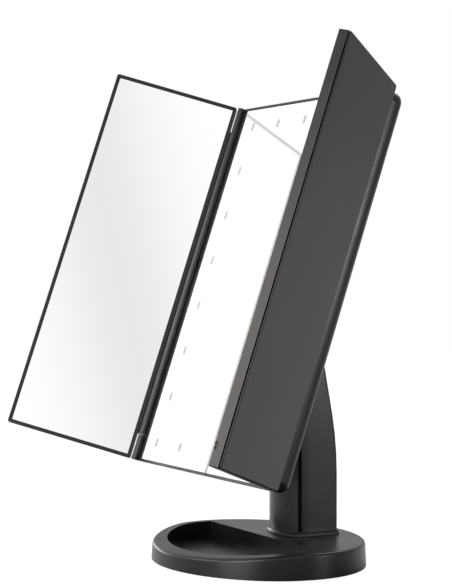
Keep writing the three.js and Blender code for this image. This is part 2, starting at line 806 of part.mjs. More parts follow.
function controlBoard() {
  const board = block([-boardHalf, boardHalf], [boardLow, boardLow + boardTall], [-boardBack, -boardFace]);
  const chips = boardChips.map(({ x, up, wide, tall, high }) => (
    block(about(x, wide), about(boardLow + up, tall), [-boardFace - boardThickness / 2, -boardFace + high])
  ));
  return join(board, ...chips);
}

function standoffSpots() {
  const low = boardLow + standoffInset;
  const high = boardLow + boardTall - standoffInset;
  const outer = boardHalf - standoffInset;
  return [[-outer, low], [outer, low], [-standoffMiddle, high], [standoffMiddle, high]];
}

// Rear housing: a dished shell with screw bosses, the battery hump and the two pivot ears
function rearHousing() {
  const outline = [-housingHalf, housingHalf, -housingTall, housingTall];
  const [innerCorner, innerFillet] = [housingCorner - wall, housingFillet - wall];
  const shell = cut(
    dish(outline, housingCorner, housingFillet, -housingDepth, -housingFront, filletSteps),
    dish(grow(outline, -wall), innerCorner, innerFillet, -innerBack, cutPast, filletSteps / 2),
  );
  const bosses = postSpots().map((spot) => peg(bossRadius, -innerBack - joinDepth, -postBack - fitGap, spot));
  const bossBores = postSpots().flatMap((spot) => [
    peg(screwRadius + fitGap, -housingDepth - cutPast, 0, spot),
    peg(screwHeadRadius + fitGap, -housingDepth - cutPast, -housingDepth + screwSink, spot),
  ]);
  const boardPosts = standoffSpots().map((spot) => (
    peg(standoffRadius, -innerBack - joinDepth, -boardBack - fitGap, spot)
  ));
  const body = join(shell, ...bosses, ...boardPosts, hump(), batteryBox(), ear(-1), ear(1));
  return cut(body, ...bossBores, batteryPocket(), earBore(-1), earBore(1), switchSlot(), socketHole());
}

function hump() {
  const outline = [-humpHalf, humpHalf, humpBottom, humpTop];
  const body = dish(outline, humpCorner, humpFillet, -humpDepth, -housingDepth + joinDepth, filletSteps - 1);
  const slot = block(
    [-slotHalf, slotHalf],
    [humpBottom - cutPast, slotTop],
    [-humpDepth - cutPast, -housingDepth],
  );
  return cut(body, slot);
}

function batteryBox() {
  const front = -pocketFloor + boxWall;
  return roundedPlate(grow(pocketRect, boxWall), pocketCorner, -housingDepth + joinDepth, front, 1);
}

function batteryPocket() {
  return join(
    roundedPlate(pocketRect, pocketCorner, -humpDepth - cutPast, -pocketFloor, 1),
    roundedPlate(grow(pocketRect, doorMargin), doorCorner, -humpDepth - cutPast, -doorFace + fitGap),
  );
}

function ear(side) {
  const [, y, z] = pivotSpot;
  const root = -housingDepth + joinDepth;
  const steps = roundSteps / 2;
  const outline = [];
  for (let i = 0; i <= steps; i += 1) {
    const angle = (Math.PI * i) / steps;
    outline.push([y + earRadius * Math.cos(angle), z - earRadius * Math.sin(angle)]);
  }
  outline.push([y - earRadius, root], [y + earRadius, root]);
  return sideExtrusion(outline, side * slotHalf, side * earOuter);
}

function earBore(side) {
  const past = side * (earOuter + cutPast);
  const through = rod('x', shaftRadius + fitGap, side * (slotHalf - cutPast), past, pivotSpot);
  return join(through, rod('x', capRadius + fitGap, side * (nutInner - fitGap), past, pivotSpot));
}

function pivotShaft() {
  const head = rod('x', nutRadius, -nutOuter, -nutInner, pivotSpot);
  return join(head, rod('x', shaftRadius, -nutInner - joinDepth, nutOuter, pivotSpot));
}

function pivotNut() {
  const hexagon = rod('x', nutRadius, nutInner, nutOuter, pivotSpot, 6);
  return cut(hexagon, rod('x', shaftRadius + fitGap, nutInner - cutPast, nutOuter + cutPast, pivotSpot));
}

function pivotCap(side) {
  const [inner, outer] = [earOuter - capSunk, earOuter + capProud];
  const face = capRadius - capChamfer;
  const profile = [[0, inner], [capRadius, inner], [capRadius, earOuter], [face, outer], [0, outer]];
  const cap = new THREE.LatheGeometry(profile.map(([x, y]) => new THREE.Vector2(x, y)), roundSteps);
  cap.rotateZ((-side * Math.PI) / 2);
  cap.translate(...pivotSpot);
  return solidOf(cap);
}

const cellX = (index) => (index - (cellCount - 1) / 2) * cellPitch;

// Neighbouring cells point opposite ways
function batteryCell(index) {
  const centre = [cellX(index), 0, -cellDepth];
  const ends = [cellBottom, cellBottom + cellLength];
  const [foot, head] = index % 2 === 0 ? ends : ends.reverse();
  const shoulder = head - Math.sign(head - foot) * cellNub;
  const into = shoulder - Math.sign(head - foot) * joinDepth;
  return join(rod('y', cellRadius, foot, shoulder, centre), rod('y', nubRadius, into, head, centre, smallSteps));
}

// A contact plate at one end of the pocket, with a raised contact for each cell
function batteryContact(end, inward) {
  const back = end + inward * fitGap;
  const face = back + inward * contactPlate;
  const tip = back + inward * (contactReach - fitGap);
  const half = pocketHalf - pocketCorner;
  const plate = block([-half, half], [back, face], about(-cellDepth, contactWidth));
  const bumps = Array.from({ length: cellCount }, (_, i) => (
    rod('y', contactRadius, back, tip, [cellX(i), 0, -cellDepth], smallSteps)
  ));
  return join(plate, ...bumps);
}

function batteryDoor() {
  const plate = roundedPlate(grow(pocketRect, doorMargin - fitGap), doorCorner - fitGap, -humpDepth, -doorFace);
  const ridges = Array.from({ length: gripCount }, (_, i) => {
    const top = pocketTop - gripInset - i * gripPitch;
    const depths = [-humpDepth - gripProud, -humpDepth + joinDepth];
    return block(about(0, gripLength), [top - gripWidth, top], depths);
  });
  return join(plate, ...ridges);
}

// Slide switch on the right of the housing's back, its knob at the lower end of the slot
function switchSlot() {
  return block(
    about(controlX, knobWide + 2 * fitGap),
    about(controlY, knobTall + switchTravel + 2 * fitGap),
    [-housingDepth - cutPast, -innerBack + cutPast],
  );
}

function switchBody() {
  const depths = [-innerBack + fitGap, -boardBack - fitGap];
  return block(about(controlX, switchWide), about(controlY, switchTall), depths);
}

function switchKnob() {
  const middle = controlY - switchTravel / 2;
  return block(about(controlX, knobWide), about(middle, knobTall), [-housingDepth - knobProud, -innerBack]);
}

// Power socket on the left of the housing's back
function socketHole() {
  return block(
    about(-controlX, socketWide + 2 * fitGap),
    about(controlY, socketTall + 2 * fitGap),
    [-housingDepth - cutPast, -innerBack + cutPast],
  );
}

function powerSocket() {
  const [rim, back] = [-housingDepth + socketInset, -boardBack - fitGap];
  const [wide, tall] = [socketWide - 2 * socketWall, socketTall - 2 * socketWall];
  const shell = block(about(-controlX, socketWide), about(controlY, socketTall), [rim, back]);
  const mouth = block(about(-controlX, wide), about(controlY, tall), [rim - cutPast, back - socketFloor]);
  const tongueDepths = [rim + socketFloor, back - socketFloor / 2];
  const tongue = block(about(-controlX, tongueWide), about(controlY, tongueTall), tongueDepths);
  return join(cut(shell, mouth), tongue);
}

function housingScrew(spot) {
  const seat = -housingDepth + screwSink - fitGap;
  const tip = -diffuserFace - cutPast;
  return join(
    peg(screwHeadRadius, seat - screwHead, seat, spot),
    peg(screwRadius, seat - joinDepth, tip, spot),
  );
}

function hingePin(side, end) {
  const places = [barrelHalf - pinReach, halfHeight - pinEndInset].map((y) => end * y);
  return rod('y', pinRadius, ...places, [side * hingeX, 0, hingeLift]);
}

// Wing pieces, for the right wing, in the wing's own frame: x outward from the hinge axis, y up along
// the panel, z out of the mirror. The left wing is the same shape mirrored in x.
function glassRects(split) {
  const [, xHigh, yLow, yHigh] = grow(wingRect, -wingBezel);
  const xLow = wingEdgeOffset + hingeBezel;
  if (!split) return [[xLow, xHigh, yLow, yHigh]];
  const [barLow, barHigh] = about(magnifierSplit, splitBar);
  return [[xLow, xHigh, barHigh, yHigh], [xLow, xHigh, yLow, barLow]];
}

function wingFrame(split) {
  const pockets = glassRects(split).flatMap((rect) => [
    roundedPlate(grow(rect, fitGap), glassCorner, wingPocketBack, cutPast, 1),
    roundedPlate(grow(rect, fitGap - ledge), glassCorner, wingCavity - cutPast, cutPast, 1),
  ]);
  const step = roundedPlate(grow(wingRect, -bezelRim), glassCorner, wingFront - bezelStep, cutPast, 1);
  const cavity = roundedPlate(grow(wingRect, -wall), glassCorner, wingFrameBack - cutPast, wingCavity, 1);
  const plate = roundedPlate(wingRect, frameCorner, wingFrameBack, wingFront);
  const web = block(
    [barrelRadius / 2, wingEdgeOffset + joinDepth],
    [-barrelHalf, barrelHalf],
    [fitGap - barrelRadius, hingeWeb - barrelRadius],
  );
  const barrel = rod('y', barrelRadius, -barrelHalf, barrelHalf);
  const bores = [1, -1].map((end) => (
    rod('y', pinRadius + fitGap, end * (barrelHalf - pinReach - cutPast), end * (barrelHalf + cutPast))
  ));
  const notches = split ? [thumbNotch()] : [];
  return cut(join(cut(plate, step, cavity, ...pockets), web, barrel), ...bores, ...notches);
}

function thumbNotch() {
  const scoop = new THREE.SphereGeometry(1, roundSteps, smallSteps);
  scoop.scale(notchDepth, notchLength / 2, notchWidth / 2);
  scoop.translate(wingReach, notchHeight - halfHeight, wingFront - notchBack);
  return solidOf(scoop);
}

function wingGlass(rect) {
  return roundedPlate(rect, glassCorner, wingFront - glassBack, wingFront - glassRecess, 1);
}

function wingCover() {
  const face = wingFrameBack - shadowGroove;
  const outline = grow(wingRect, -coverInset);
  const plate = stack([
    rectRing(grow(outline, -coverChamfer), frameCorner, face - coverPlate, 2),
    rectRing(outline, frameCorner, face - coverPlate + coverChamfer, 2),
    rectRing(outline, frameCorner, face, 2),
  ]);
  const ribOuter = grow(wingRect, -wall - fitGap);
  const rib = cut(
    roundedPlate(ribOuter, glassCorner, face - coverPlate / 2, wingCavity - fitGap, 1),
    roundedPlate(grow(ribOuter, -coverRib), glassCorner, face, wingCavity + cutPast, 1),
  );
  return join(plate, rib);
}

// Assembly
const mirrored = (solid) => solid.mirror([1, 0, 0]);

function buildBase() {
  const base = new THREE.Group();
  base.add(mesh('anti_slip_pad', antiSlipPad(), rubberBlack));
  base.add(mesh('base_bottom_plate', bottomPlate(), satinCharcoal));
  base.add(mesh('base_shell', baseShell(), satinCharcoal));
  base.add(mesh('base_ballast', ballast(), steel));
  screwSpots().forEach((spot, i) => base.add(mesh(`base_screw_${i + 1}`, baseScrew(spot), steel)));
  footScrewSpots().forEach((spot, i) => base.add(mesh(`column_screw_${i + 1}`, footScrew(spot), steel)));
  base.add(mesh('column_core', columnCore(), innerBlack));
  base.add(mesh('column_front_cover', frontCover(), satinCharcoal));
  base.add(mesh('column_rear_cover', rearCover(), satinCharcoal));
  base.add(mesh('column_collar', collar(), satinCharcoal));
  base.add(mesh('friction_washer_left', frictionWasher(-1), steel));
  base.add(mesh('friction_washer_right', frictionWasher(1), steel));
  return base;
}

function buildHead() {
  const head = new THREE.Group();
  head.add(mesh('front_frame', frontFrame(), satinCharcoal));
  head.add(mesh('centre_mirror', centreMirror(), mirrorSilver));
  head.add(mesh('light_diffuser', lightDiffuser(), frostedWhite));
  for (const [name, solid] of Object.entries(ledStrips())) head.add(mesh(name, solid, frostedWhite));
  head.add(mesh('control_board', controlBoard(), boardGreen));
  head.add(mesh('touch_pad', touchPad(), contactNickel));
  head.add(mesh('rear_housing', rearHousing(), satinCharcoal));
  head.add(mesh('battery_door', batteryDoor(), satinCharcoal));
  for (let i = 0; i < cellCount; i += 1) head.add(mesh(`battery_cell_${i + 1}`, batteryCell(i), cellSilver));
  head.add(mesh('battery_contact_top', batteryContact(pocketTop, -1), contactNickel));
  head.add(mesh('battery_contact_bottom', batteryContact(pocketBottom, 1), contactNickel));
  head.add(mesh('power_switch_body', switchBody(), innerBlack));
  head.add(mesh('power_switch_knob', switchKnob(), innerBlack));
  head.add(mesh('power_socket', powerSocket(), contactNickel));
  postSpots().forEach((spot, i) => head.add(mesh(`housing_screw_${i + 1}`, housingScrew(spot), steel)));
  head.add(mesh('pivot_shaft', pivotShaft(), steel));
  head.add(mesh('pivot_nut', pivotNut(), steel));
  head.add(mesh('pivot_cap_left', pivotCap(-1), innerBlack));
  head.add(mesh('pivot_cap_right', pivotCap(1), innerBlack));
  for (const [side, sideName] of [[-1, 'left'], [1, 'right']]) {
    head.add(mesh(`hinge_pin_${sideName}_top`, hingePin(side, 1), steel));
    head.add(mesh(`hinge_pin_${sideName}_bottom`, hingePin(side, -1), steel));
  }
  head.add(buildLeftWing(), buildRightWing());
  const tilt = headTilt * radians;
  head.position.set(
    0,
    pivotY + pivotDrop * Math.sin(tilt) - pivotDepth * Math.cos(tilt),
    pivotZ + pivotDrop * Math.cos(tilt) + pivotDepth * Math.sin(tilt),
  );
  head.rotation.x = Math.PI / 2 - tilt;
  return head;
}

function buildLeftWing() {
  const wing = new THREE.Group();
  wing.add(mesh('left_wing_frame', mirrored(wingFrame(false)), satinCharcoal));
  wing.add(mesh('left_wing_mirror', mirrored(wingGlass(glassRects(false)[0])), mirrorSilver));
  wing.add(mesh('left_wing_back_cover', mirrored(wingCover()), satinCharcoal));
  wing.position.set(-hingeX, 0, hingeLift);
  wing.rotation.y = leftFold * radians;
  return wing;
}

function buildRightWing() {
  const wing = new THREE.Group();
  const [upper, lower] = glassRects(true);
  wing.add(mesh('right_wing_frame', wingFrame(true), satinCharcoal));
  wing.add(mesh('right_wing_mirror_upper', wingGlass(upper), mirrorSilver));
  wing.add(mesh('right_wing_mirror_lower', wingGlass(lower), mirrorSilver));
  wing.add(mesh('right_wing_back_cover', wingCover(), satinCharcoal));
  wing.position.set(hingeX, 0, hingeLift);
  wing.rotation.y = -rightFold * radians;
  return wing;
}

const group = new THREE.Group();
group.add(buildBase(), buildHead());

export default group;
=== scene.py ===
import math
import bmesh
import bpy
from mathutils import Matrix, Vector


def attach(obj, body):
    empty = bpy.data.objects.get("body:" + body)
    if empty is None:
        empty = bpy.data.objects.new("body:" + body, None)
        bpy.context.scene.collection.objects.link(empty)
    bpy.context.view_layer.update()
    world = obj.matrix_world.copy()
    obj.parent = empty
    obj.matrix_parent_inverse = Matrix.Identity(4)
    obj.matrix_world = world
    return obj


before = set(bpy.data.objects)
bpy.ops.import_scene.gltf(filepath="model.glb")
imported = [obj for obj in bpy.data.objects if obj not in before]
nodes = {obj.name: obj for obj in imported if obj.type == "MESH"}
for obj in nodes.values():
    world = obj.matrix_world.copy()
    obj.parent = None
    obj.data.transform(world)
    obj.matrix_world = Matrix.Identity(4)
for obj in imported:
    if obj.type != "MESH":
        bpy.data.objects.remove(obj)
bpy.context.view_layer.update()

# Tabletop makeup mirror: a lighted centre mirror with two folding wings on a tilting column, dressed in
# satin charcoal ABS, silvered glass and small steel parts. Metres, +Z up, the mirrors face -Y.

mm = 0.001


# camera
camera = {
    "place": (959.1, -537.1, 186.7),  # mm
    "azimuth": 61.79,  # degrees round from the front
    "elevation": 0.82,
    "focal": 1734.95,  # in pixels of a picture of the height below
    "pictureHeight": 584,
    "clip": (0.05, 20.0),  # metres
}


def towards(around, up):
    # a direction from degrees round from the front and degrees up
    a, e = math.radians(around), math.radians(up)
    return Vector((math.sin(a) * math.cos(e), -math.cos(a) * math.cos(e), math.sin(e)))


def placeAndAim(name, data, place, back):
    # a camera or lamp that looks the other way from "back"
    made = bpy.data.objects.new(name, data)
    made.location = place
    made.rotation_euler = (-back).to_track_quat("-Z", "Y").to_euler()
    bpy.context.scene.collection.objects.link(made)
    return made


def setCamera(look):
    lens = bpy.data.cameras.new("camera")
    lens.lens = look["focal"] * lens.sensor_width / look["pictureHeight"]
    lens.clip_start, lens.clip_end = look["clip"]
    back = towards(look["azimuth"], look["elevation"])
    bpy.context.scene.camera = placeAndAim("camera", lens, Vector(look["place"]) * mm, back)


setCamera(camera)
print("camera set")


# small helpers
def hexToLinear(text):
    values = [int(text[i:i + 2], 16) / 255 for i in (1, 3, 5)]
    return tuple(v / 12.92 if v <= 0.04045 else ((v + 0.055) / 1.055) ** 2.4 for v in values) + (1.0,)


def addNode(tree, kind, values=None, links=None, **settings):
    # a node with its settings, its fixed inputs and its links; every node here goes through this
    node = tree.nodes.new(kind)
    for name, value in settings.items():
        setattr(node, name, value)
    for name, value in (values or {}).items():
        node.inputs[name].default_value = value
    for name, source in (links or {}).items():
        tree.links.new(source, node.inputs[name])
    return node


def newMaterial(name):
    # an empty material, its tree and the place on the object in metres
    material = bpy.data.materials.new(name)
    material.use_nodes = True
    tree = material.node_tree
    tree.nodes.clear()
    return material, tree, addNode(tree, "ShaderNodeTexCoord").outputs["Object"]


def perMetre(size):
    return 1.0 / (size * mm)  # a pattern's scale from the real size of one grain in mm


# the head's own frame, in degrees and mm as the solid model has it
head = {"tilt": 19.0, "pivotY": 19.2, "pivotZ": 152.3, "drop": 16.0, "depth": 28.0}


def headPlace(look):
    # from the head's own frame, x right, y up along the panel and z out of its front, to the object's frame
    t = math.radians(look["tilt"])
    y = look["pivotY"] + look["drop"] * math.sin(t) - look["depth"] * math.cos(t)
    z = look["pivotZ"] + look["drop"] * math.cos(t) + look["depth"] * math.sin(t)
    return Matrix.Translation((0, y * mm, z * mm)) @ Matrix.Rotation(math.pi / 2 - t, 4, "X")


onHead = headPlace(head)

# materials
patterns = {
    "toneEnds": (0.35, 0.65),  # where in a noise the darkest and the lightest tone begin
    "glossEnds": (0.3, 0.7),  # and the lowest and highest roughness
}
mouldedAbs = {
    "deep": "#0d0c0c",
    "tone": "#121111",
    # the lighter colour of the painted highlight along rounded edges
    "paintedEdgeHighlight": "#343332",
    "mottle": 28.0,  # mm, slow drift of tone in the moulding
    "mottleDetail": 3.0,
    "grain": 0.55,  # mm, spark texture of about 0.05 mm drawn coarse enough to show
    "grainDetail": 2.0,
    "grainDepth": 0.012,  # mm
    "grainStrength": 0.5,
    "roughness": (0.26, 0.32),
    "edge": 0.5,  # mm, width of the painted highlight along rounded edges
    "edgeEnds": (0.985, 0.9),  # cosine of rounded to flat normal where the painted highlight starts and where it is full
    "ior": 1.53,
    "specular": 0.31,
    "sheen": "#fffaf5",  # the highlights lean a little to warm
}
mouldings = {
    "satin moulded ABS, charcoal": {},
    # the housing's sides swell a little: past "from" mm behind the panel's front they turn away,
    # by "turn" in "over" mm
    "satin moulded ABS, swelling side": {"swell": {"from": 5.8, "turn": 0.12, "over": 4.0}},
}


def toneAndGloss(tree, pattern, look):
    # a colour and a roughness that follow a noise between the look's own ends
    tone = addNode(tree, "ShaderNodeValToRGB", links={"Fac": pattern})
    colours = (look["deep"], look["tone"])
    for element, position, colour in zip(tone.color_ramp.elements, patterns["toneEnds"], colours):
        element.position, element.color = position, hexToLinear(colour)
    start, end = patterns["glossEnds"]
    low, high = look["roughness"]
    gloss = addNode(tree, "ShaderNodeMapRange",
                    {"From Min": start, "From Max": end, "To Min": low, "To Max": high}, {"Value": pattern})
    return tone.outputs["Color"], gloss.outputs["Result"]


def paintedHighlightMask(tree, look):
    # painted highlight on rounded corners: lighter where the rounded normal leaves the flat one
    rounded = addNode(tree, "ShaderNodeBevel", {"Radius": look["edge"] * mm}, samples=4)
    flat = addNode(tree, "ShaderNodeNewGeometry")
    agree = addNode(tree, "ShaderNodeVectorMath", operation="DOT_PRODUCT",
                    links={0: rounded.outputs[0], 1: flat.outputs["Normal"]})
    start, full = look["edgeEnds"]
    highlit = addNode(tree, "ShaderNodeMapRange",
                     {"From Min": start, "From Max": full, "To Min": 0.0, "To Max": 1.0},
                     {"Value": agree.outputs["Value"]})
    return highlit.outputs["Result"]


def swellBump(tree, place, look, under):
    # a normal that turns back along the head's depth, on top of the one underneath
    back = onHead.to_3x3() @ Vector((0, 0, -1))
    start = back.dot(onHead.translation) + look["from"] * mm
    along = addNode(tree, "ShaderNodeVectorMath", {1: back}, {0: place},
                    operation="DOT_PRODUCT").outputs["Value"]
    past = addNode(tree, "ShaderNodeMath", {1: start}, {0: along}, operation="SUBTRACT").outputs[0]
    depth = addNode(tree, "ShaderNodeMath", {1: 0.0}, {0: past}, operation="MAXIMUM").outputs[0]
    square = addNode(tree, "ShaderNodeMath", links={0: depth, 1: depth}, operation="MULTIPLY").outputs[0]
    fall = addNode(tree, "ShaderNodeMath", {1: -look["turn"] / (2 * look["over"] * mm)}, {0: square},
                   operation="MULTIPLY").outputs[0]
    return addNode(tree, "ShaderNodeBump", {"Strength": 1.0, "Distance": 1.0},
                   {"Height": fall, "Normal": under})


def satinAbs(name, look):
    # injection-moulded ABS with a fine spark-eroded texture: soft wide highlights, and a faint painted
    # highlight line on its edges
    material, tree, place = newMaterial(name)
    drift, grain = (
        addNode(tree, "ShaderNodeTexNoise", {"Scale": perMetre(look[size]), "Detail": look[detail]},
                {"Vector": place}).outputs["Fac"]
        for size, detail in (("mottle", "mottleDetail"), ("grain", "grainDetail")))
    tone, gloss = toneAndGloss(tree, drift, look)
    # rounded edges are painted lighter: a painted highlight
    paintedEdgeHighlight = addNode(tree, "ShaderNodeMixRGB", {"Color2": hexToLinear(look["paintedEdgeHighlight"])},
                   {"Fac": paintedHighlightMask(tree, look), "Color1": tone})
    bump = addNode(tree, "ShaderNodeBump",
                   {"Strength": look["grainStrength"], "Distance": look["grainDepth"] * mm},
                   {"Height": grain})
    if "swell" in look:
        bump = swellBump(tree, place, look["swell"], bump.outputs["Normal"])
    skin = addNode(tree, "ShaderNodeBsdfPrincipled",
                   {"IOR": look["ior"], "Specular IOR Level": look["specular"],
                    "Specular Tint": hexToLinear(look["sheen"])},
                   {"Base Color": paintedEdgeHighlight.outputs["Color"], "Roughness": gloss,
                    "Normal": bump.outputs["Normal"]})
    addNode(tree, "ShaderNodeOutputMaterial", links={"Surface": skin.outputs[0]})
    return material


silver = {
    "haze": 45.0,  # mm, drift of the dust
    "hazeDetail": 2.0,
    "hazeEnds": (0.35, 0.75),
    "roughness": (0.012, 0.02),
    "tints": ("#fdfefe", "#ffffff"),
    "shallow": (0.2, 0.6),  # facing values over which the painted pale veil comes in
    "metallic": (1.0, 0.4),  # clear of the painted veil and under it
}


def silveredGlass(name, look):
    # silvered float glass: a clean reflection, dulled a little by fine dust
    material, tree, place = newMaterial(name)
    haze = addNode(tree, "ShaderNodeTexNoise",
                   {"Scale": perMetre(look["haze"]), "Detail": look["hazeDetail"]},
                   {"Vector": place}).outputs["Fac"]
    tint = addNode(tree, "ShaderNodeValToRGB", links={"Fac": haze})
    for element, colour in zip(tint.color_ramp.elements, look["tints"]):
        element.color = hexToLinear(colour)
    # a painted pale veil: where the glass is seen at a shallow angle, part of the reflection gives way to the
    # pale base colour, which fades dark reflections
    facing = addNode(tree, "ShaderNodeLayerWeight", {"Blend": 0.5}).outputs["Facing"]
    dull, paintedPale = (
        addNode(tree, "ShaderNodeMapRange",
                {"From Min": span[0], "From Max": span[1], "To Min": ends[0], "To Max": ends[1]},
                {"Value": value}).outputs["Result"]
        for value, span, ends in ((haze, look["hazeEnds"], look["roughness"]),
                                  (facing, look["shallow"], look["metallic"])))
    glass = addNode(tree, "ShaderNodeBsdfPrincipled",
                    links={"Base Color": tint.outputs["Color"], "Roughness": dull, "Metallic": paintedPale})
    addNode(tree, "ShaderNodeOutputMaterial", links={"Surface": glass.outputs[0]})
    return material


def speckled(name, look):
    # a plain surface with a fine speckle: frosted, foamed, plated or printed, as its numbers say
    material, tree, place = newMaterial(name)
    speck = addNode(tree, "ShaderNodeTexNoise",
                    {"Scale": perMetre(look["grain"]), "Detail": look["grainDetail"]},
                    {"Vector": place}).outputs["Fac"]
    tone, gloss = toneAndGloss(tree, speck, look)
    bump = addNode(tree, "ShaderNodeBump",
                   {"Strength": look["grainStrength"], "Distance": look["grainDepth"] * mm},
                   {"Height": speck})
    skin = addNode(tree, "ShaderNodeBsdfPrincipled",
                   {"Metallic": look["metallic"], "Specular IOR Level": look["specular"]},
                   {"Base Color": tone, "Roughness": gloss, "Normal": bump.outputs["Normal"]})
    addNode(tree, "ShaderNodeOutputMaterial", links={"Surface": skin.outputs[0]})
    return material


plain = {"metallic": 0.0, "specular": 0.5, "grainDetail": 3.0, "grainStrength": 0.6}
speckles = {
    # black glass-filled nylon, moulded matte: swallows light beside the satin covers
    "matte moulded nylon black": {"deep": "#0b0b0b", "tone": "#121212", "grain": 0.5, "grainDepth": 0.02,
                                  "roughness": (0.55, 0.65), "specular": 0.15},
    # etched glass over the lights, unlit: pale, even, no reflection
    "etched glass": {"deep": "#aeafad", "tone": "#b8b9b7", "grain": 0.4, "grainDepth": 0.005,
                     "roughness": (0.5, 0.6)},
    # opal acrylic, moulded
    "opal acrylic": {"deep": "#dcdcd6", "tone": "#e8e8e2", "grain": 1.5, "grainDepth": 0.004,
                     "roughness": (0.3, 0.4)},
    # zinc-plated steel, rolled and turned: cool and softly bright
    "zinc-plated steel": {"deep": "#7e8083", "tone": "#a2a4a8", "grain": 0.6, "grainDepth": 0.01,
                          "roughness": (0.28, 0.42), "metallic": 1.0},
    # nickel-plated brass sheet, stamped: warm and bright
    "nickel plate": {"deep": "#a9a69e", "tone": "#c2bfb6", "grain": 0.5, "grainDepth": 0.006,
                     "roughness": (0.2, 0.32), "metallic": 1.0},
    # EVA foam pad, die-cut: dead flat black with open pores
    "EVA foam": {"deep": "#101010", "tone": "#1d1d1d", "grain": 0.7, "grainDepth": 0.08,
                 "roughness": (0.85, 0.95)},
    # glass-fibre laminate with green solder mask
    "FR4 laminate": {"deep": "#1d4a2c", "tone": "#265a37", "grain": 1.2, "grainDepth": 0.01,
                     "roughness": (0.35, 0.5)},
    # shrink sleeve round a cell, plain silver grey
    "sleeved cell": {"deep": "#6f7478", "tone": "#858a8e", "grain": 2.0, "grainDepth": 0.01,
                     "roughness": (0.3, 0.4), "metallic": 0.4},
}
finishes = {"silvered float glass": silveredGlass("silvered float glass", silver)}
for name, own in mouldings.items():
    finishes[name] = satinAbs(name.replace(",", ""), {**mouldedAbs, **own})
for name, own in speckles.items():
    finishes[name] = speckled(name, {**plain, **own})
print("materials made:", len(finishes))


# the solids: finish, softened edges, smooth faces
softening = {
    "weld": 0.002,  # mm between points that are one
    "flat": 0.4,  # degrees between faces that are one
    "round": 33.0,  # degrees at an edge from which it is rounded
    "crisp": 32.0,  # and from which its shading stays crisp
    "segments": 2,
    "evenness": 100,  # how far large flat faces rule the shading
}


def smoothTree(look):
    # smooth faces, with edges sharper than the angle kept crisp
    tree = bpy.data.node_groups.new("smoothFaces", "GeometryNodeTree")
    for way in ("INPUT", "OUTPUT"):
        tree.interface.new_socket("Geometry", in_out=way, socket_type="NodeSocketGeometry")
    start = addNode(tree, "NodeGroupInput")
    angle = addNode(tree, "GeometryNodeInputMeshEdgeAngle")
    sharp = addNode(tree, "FunctionNodeCompare", {"B": math.radians(look["crisp"])},
                    {"A": angle.outputs["Unsigned Angle"]}, data_type="FLOAT", operation="GREATER_THAN")
    faces = addNode(tree, "GeometryNodeSetShadeSmooth", {"Shade Smooth": True},
                    {"Geometry": start.outputs[0]}, domain="FACE")
    edges = addNode(tree, "GeometryNodeSetShadeSmooth", {"Shade Smooth": False},
                    {"Geometry": faces.outputs[0], "Selection": sharp.outputs["Result"]}, domain="EDGE")
    addNode(tree, "NodeGroupOutput", links={"Geometry": edges.outputs[0]})
    return tree


smoothFaces = smoothTree(softening)


def soften(piece, width, look):
    weld = piece.modifiers.new("weld", "WELD")
    weld.merge_threshold = look["weld"] * mm
    flat = piece.modifiers.new("flat faces", "DECIMATE")
    flat.decimate_type, flat.angle_limit = "DISSOLVE", math.radians(look["flat"])
    if width:
        edge = piece.modifiers.new("rounded edges", "BEVEL")
        edge.width, edge.segments, edge.limit_method = width * mm, look["segments"], "ANGLE"
        edge.angle_limit = math.radians(look["round"])
        edge.use_clamp_overlap = True
    smooth = piece.modifiers.new("smooth faces", "NODES")
    smooth.node_group = smoothFaces
    flatten = piece.modifiers.new("flat faces stay flat", "WEIGHTED_NORMAL")
    flatten.weight, flatten.keep_sharp = look["evenness"], True


def wear(piece, finish):
    piece.data.materials.clear()
    piece.data.materials.append(finishes[finish])


solids = {  # by finish: each solid and the width in mm of its rounded edges
    "satin moulded ABS, charcoal": {
        "base_shell": 0.25, "base_bottom_plate": 0.2, "column_front_cover": 0.5, "column_rear_cover": 0.5,
        "column_collar": 0.3, "front_frame": 0.25, "battery_door": 0.3, "left_wing_frame": 0.25,
        "left_wing_back_cover": 0.15, "right_wing_frame": 0.25, "right_wing_back_cover": 0.15,
    },
    "satin moulded ABS, swelling side": {"rear_housing": 0.3},
    "silvered float glass": {
        "centre_mirror": 0.0, "left_wing_mirror": 0.0, "right_wing_mirror_upper": 0.0,
        "right_wing_mirror_lower": 0.0,
    },
    "matte moulded nylon black": {
        "column_core": 0.3, "power_switch_body": 0.0, "power_switch_knob": 0.25, "pivot_cap_left": 0.2,
        "pivot_cap_right": 0.2,
    },
    "opal acrylic": {
        "light_diffuser": 0.0, "led_strip_left": 0.0, "led_strip_right": 0.0, "led_strip_top": 0.0,
        "led_strip_bottom": 0.0,
    },
    "zinc-plated steel": {
        "base_ballast": 0.3, "base_screw_1": 0.1, "base_screw_2": 0.1, "base_screw_3": 0.1,
        "base_screw_4": 0.1, "column_screw_1": 0.1, "column_screw_2": 0.1, "friction_washer_left": 0.1,
        "friction_washer_right": 0.1, "housing_screw_1": 0.1, "housing_screw_2": 0.1, "housing_screw_3": 0.1,
        "housing_screw_4": 0.1, "pivot_shaft": 0.2, "pivot_nut": 0.2, "hinge_pin_left_top": 0.2,
        "hinge_pin_left_bottom": 0.2, "hinge_pin_right_top": 0.2, "hinge_pin_right_bottom": 0.2,
    },
    "nickel plate": {
        "touch_pad": 0.0, "battery_contact_top": 0.0, "battery_contact_bottom": 0.0, "power_socket": 0.08,
    },
    "EVA foam": {"anti_slip_pad": 0.1},
    "FR4 laminate": {"control_board": 0.0},
    "sleeved cell": {
        "battery_cell_1": 0.3, "battery_cell_2": 0.3, "battery_cell_3": 0.3, "battery_cell_4": 0.3,
    },
}
for finish, widths in solids.items():
    for node, width in widths.items():
        wear(nodes[node], finish)
        soften(nodes[node], width, softening)
print("solids dressed:", sum(len(widths) for widths in solids.values()), "of", len(nodes))


